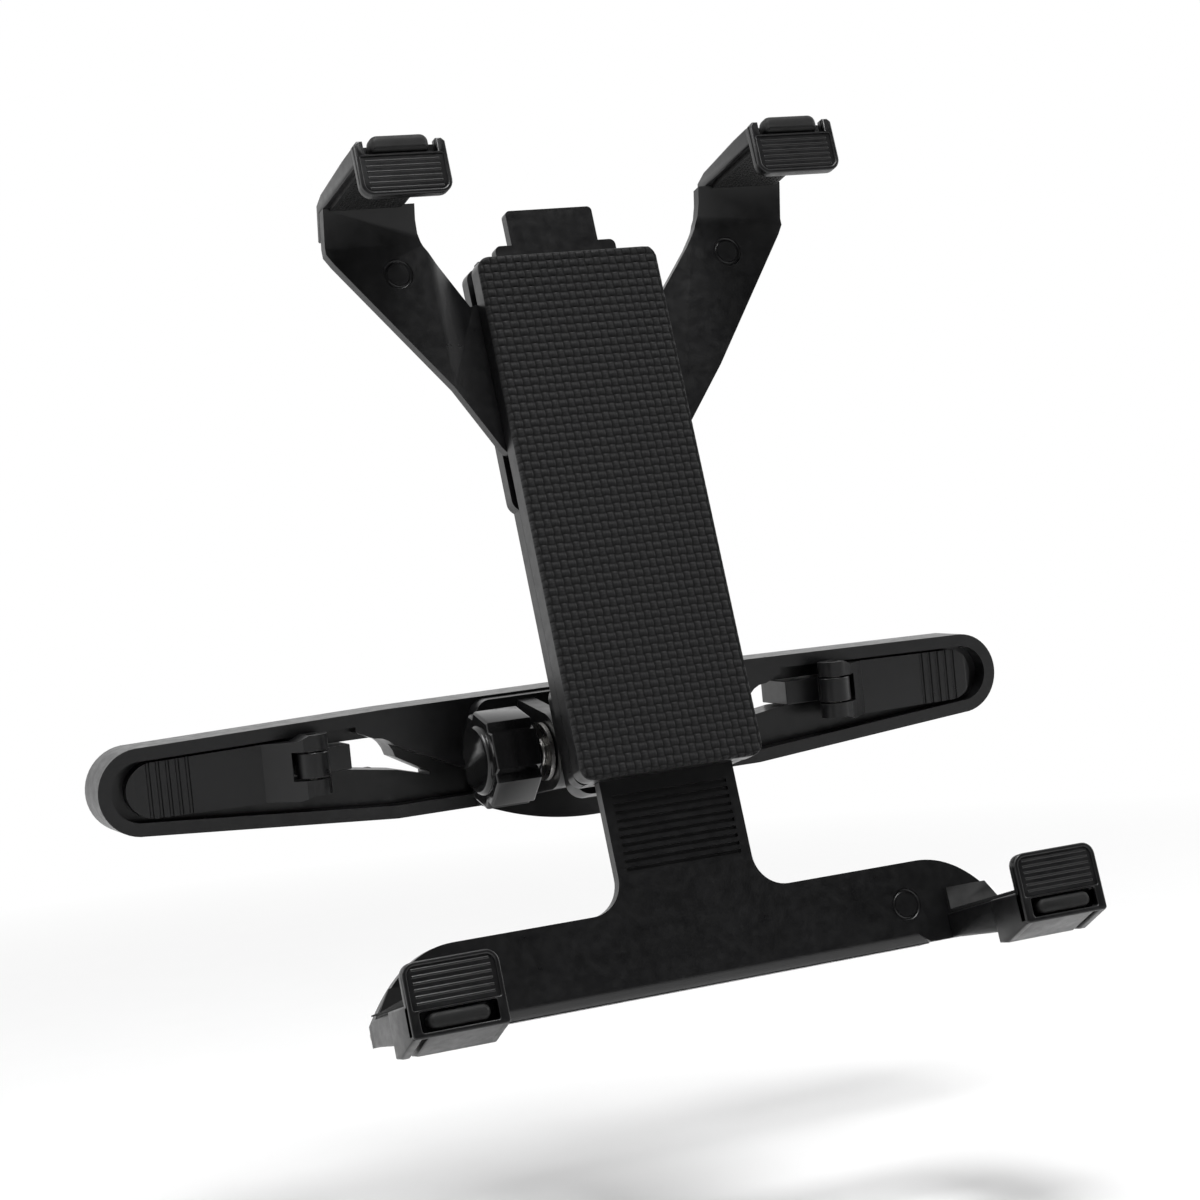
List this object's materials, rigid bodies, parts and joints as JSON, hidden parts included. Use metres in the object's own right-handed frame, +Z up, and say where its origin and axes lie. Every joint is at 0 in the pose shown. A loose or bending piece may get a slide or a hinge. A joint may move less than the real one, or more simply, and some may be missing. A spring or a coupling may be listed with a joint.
{
  "type": "headrest tablet mount",
  "caption": "Bar that hooks on to headrest posts and carries a tilting, turning holder with spring-loaded upper claws and lower claws that grip a tablet.",
  "frame": {"origin": "centre of the bar's back face, which faces the headrest posts", "axes": "+X along the bar, +Y out of the bar's back towards the posts, +Z up along the posts; the tablet faces -Y"},
  "size_m": [0.246, 0.1326, 0.2024],
  "materials": {
    "black_plastic": "fine satin grain",
    "knob_plastic": "glossy moulded",
    "rubber": "matt with small dots",
    "foam": "matt foam with a woven pattern",
    "steel": "zinc plated"
  },
  "bodies": {
    "bar": {"seat_bar": "black_plastic", "back_pad_left": "rubber", "back_pad_right": "rubber", "hinge_base": "black_plastic", "hinge_base_screws": "steel", "clamp_nut": "steel"},
    "left_hook": {"hook_left": "black_plastic", "hook_liner_left": "rubber"},
    "right_hook": {"hook_right": "black_plastic", "hook_liner_right": "rubber"},
    "left_lever": {"lever_left": "black_plastic", "lever_pin_left": "steel"},
    "right_lever": {"lever_right": "black_plastic", "lever_pin_right": "steel"},
    "clamp_knob": {"tilt_knob": "knob_plastic", "clamp_screw": "steel", "knob_washer": "steel"},
    "tilt_arm": {"tilt_block": "black_plastic", "swivel_retainer": "steel", "retainer_screws": "steel"},
    "holder": {"front_plate": "black_plastic", "foam_pad": "foam", "rear_cover": "black_plastic", "cover_screws": "steel", "stem_catch": "steel"},
    "upper_grip": {"upper_carriage": "black_plastic", "claw_upper_left": "black_plastic", "claw_upper_right": "black_plastic", "grip_upper_left": "rubber", "grip_upper_right": "rubber", "bumper_upper_left": "rubber", "bumper_upper_right": "rubber", "upper_claw_screws": "steel"},
    "lower_grip": {"lower_bracket": "black_plastic", "claw_lower_left": "black_plastic", "claw_lower_right": "black_plastic", "grip_lower_left": "rubber", "grip_lower_right": "rubber", "bumper_lower_left": "rubber", "bumper_lower_right": "rubber", "lower_claw_screws": "steel"}
  },
  "joints": [
    {"name": "left_hook_slide", "type": "slide", "parent": "bar", "child": "left_hook", "axis": [1, 0, 0], "range_m": [0, 0.006]},
    {"name": "right_hook_slide", "type": "slide", "parent": "bar", "child": "right_hook", "axis": [-1, 0, 0], "range_m": [0, 0.006]},
    {"name": "left_lever_swing", "type": "hinge", "parent": "left_hook", "child": "left_lever", "pos_m": [-0.0715, -0.0174, 0.0032], "axis": [0, 0, 1], "range_deg": [0, 110]},
    {"name": "right_lever_swing", "type": "hinge", "parent": "right_hook", "child": "right_lever", "pos_m": [0.0715, -0.0174, 0.0032], "axis": [0, 0, -1], "range_deg": [0, 110]},
    {"name": "knob_turn", "type": "hinge", "parent": "bar", "child": "clamp_knob", "pos_m": [0, -0.0325, 0], "axis": [1, 0, 0], "range_deg": [-360, 360]},
    {"name": "holder_tilt", "type": "hinge", "parent": "bar", "child": "tilt_arm", "pos_m": [0, -0.0325, 0], "axis": [1, 0, 0], "range_deg": [-30, 40]},
    {"name": "holder_turn", "type": "hinge", "parent": "tilt_arm", "child": "holder", "pos_m": [0, -0.0325, 0], "axis": [0, 0.9659, -0.2588], "continuous": true},
    {"name": "upper_grip_slide", "type": "slide", "parent": "holder", "child": "upper_grip", "axis": [0, 0.2588, 0.9659], "range_m": [-0.005, 0.022]},
    {"name": "lower_grip_slide", "type": "slide", "parent": "holder", "child": "lower_grip", "axis": [0, 0.2588, 0.9659], "range_m": [-0.02, 0.016]}
  ]
}
